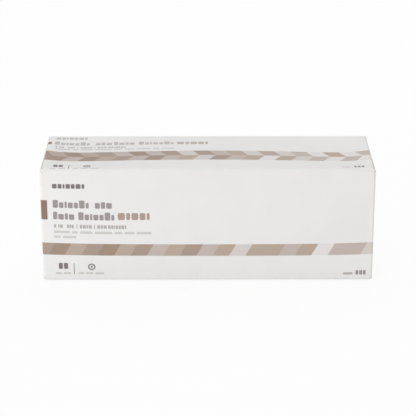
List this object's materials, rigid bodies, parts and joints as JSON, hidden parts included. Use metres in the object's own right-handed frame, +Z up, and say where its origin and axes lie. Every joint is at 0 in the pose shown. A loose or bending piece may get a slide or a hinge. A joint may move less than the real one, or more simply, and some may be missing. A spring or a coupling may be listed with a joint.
{
  "type": "sealed folding carton",
  "caption": "Sealed folding carton of coated paperboard lying on its long side, with softly bulged panels, rounded folds and glued end flaps.",
  "frame": {"origin": "middle of the resting face, on the surface that the carton stands on", "axes": "+X along the carton, -Y out of the printed front panel, +Z up"},
  "size_m": [0.17, 0.058, 0.061],
  "materials": {
    "coated_board": "white clay-coated folding boxboard with a soft satin sheen, taupe and dark grey print"
  },
  "bodies": {
    "root": {"carton": "coated_board"}
  },
  "joints": []
}
